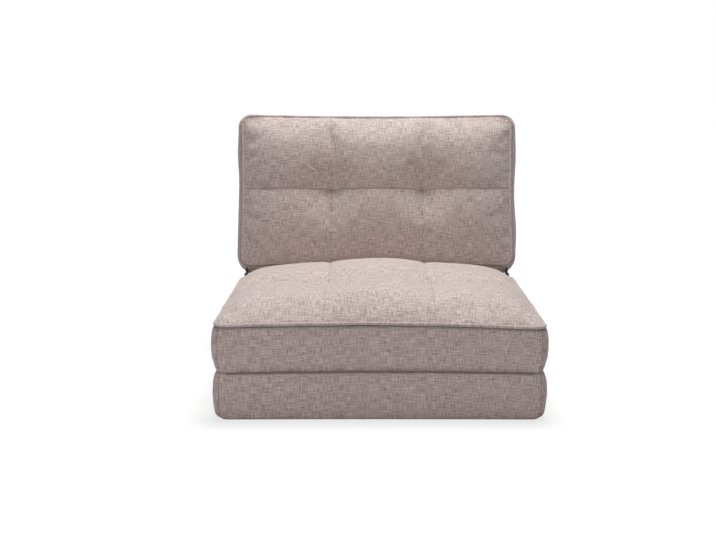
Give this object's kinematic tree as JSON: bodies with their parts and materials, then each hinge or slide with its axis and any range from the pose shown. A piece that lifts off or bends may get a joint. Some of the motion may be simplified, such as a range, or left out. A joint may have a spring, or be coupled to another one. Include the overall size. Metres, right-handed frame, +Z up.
{
  "type": "convertible chair bed",
  "caption": "Low upholstered chair bed: crowned, tufted seat over a fold-out foot pad, with a piped, tufted back pad that reclines flat on ratchet hinges.",
  "frame": {"origin": "on the floor under the middle of the foot pad", "axes": "+Z up, the front faces -Y, +X to the right as the picture shows it"},
  "size_m": [0.771, 0.831, 0.6532],
  "materials": {
    "cover": "matte",
    "piping": "matte",
    "band": "matte",
    "wadding": "matte",
    "foam": "matte",
    "twine": "matte",
    "frame": "satin",
    "hinge": "satin",
    "fastener": "satin"
  },
  "bodies": {
    "seat": {"seat_top_panel": "cover", "seat_piping": "piping", "seat_border": "cover", "seat_base_panel": "cover", "seat_wadding": "wadding", "seat_foam_upper": "foam", "seat_foam_lower": "foam", "seat_tuft_ties": "twine", "seat_frame": "frame", "seat_cross_tubes": "frame", "seat_fold_band": "band", "hinge_cheeks_inner": "hinge", "hinge_cheeks_outer": "hinge", "hinge_spacers": "fastener", "hinge_pivots": "fastener", "hinge_seat_bolts": "fastener", "pawl_pins": "fastener", "pawl_springs": "fastener"},
    "foot": {"foot_floor_panel": "cover", "foot_border": "cover", "foot_upper_panel": "cover", "foot_wadding": "wadding", "foot_foam": "foam", "foot_fold_band": "band"},
    "back": {"back_front_panel": "cover", "back_piping": "piping", "back_border": "cover", "back_rear_panel": "cover", "back_wadding": "wadding", "back_foam_upper": "foam", "back_foam_lower": "foam", "back_tuft_ties": "twine", "back_frame": "frame", "back_cross_tubes": "frame", "recline_arms": "hinge", "hinge_back_bolts": "fastener"},
    "pawl_left": {"recline_pawl_left": "hinge"},
    "pawl_right": {"recline_pawl_right": "hinge"}
  },
  "joints": [
    {"name": "foot_fold", "type": "hinge", "parent": "seat", "child": "foot", "pos_m": [0, -0.316, 0.106], "axis": [-1, 0, 0], "range_deg": [0, 180]},
    {"name": "back_recline", "type": "hinge", "parent": "seat", "child": "back", "pos_m": [0, 0.32845, 0.20107], "axis": [-1, 0, 0], "range_deg": [-8, 78]},
    {"name": "pawl_left_lift", "type": "hinge", "parent": "seat", "child": "pawl_left", "pos_m": [-0.3568, 0.30236, 0.18521], "axis": [1, 0, 0], "range_deg": [0, 9]},
    {"name": "pawl_right_lift", "type": "hinge", "parent": "seat", "child": "pawl_right", "pos_m": [0.3568, 0.30236, 0.18521], "axis": [1, 0, 0], "range_deg": [0, 9]}
  ]
}
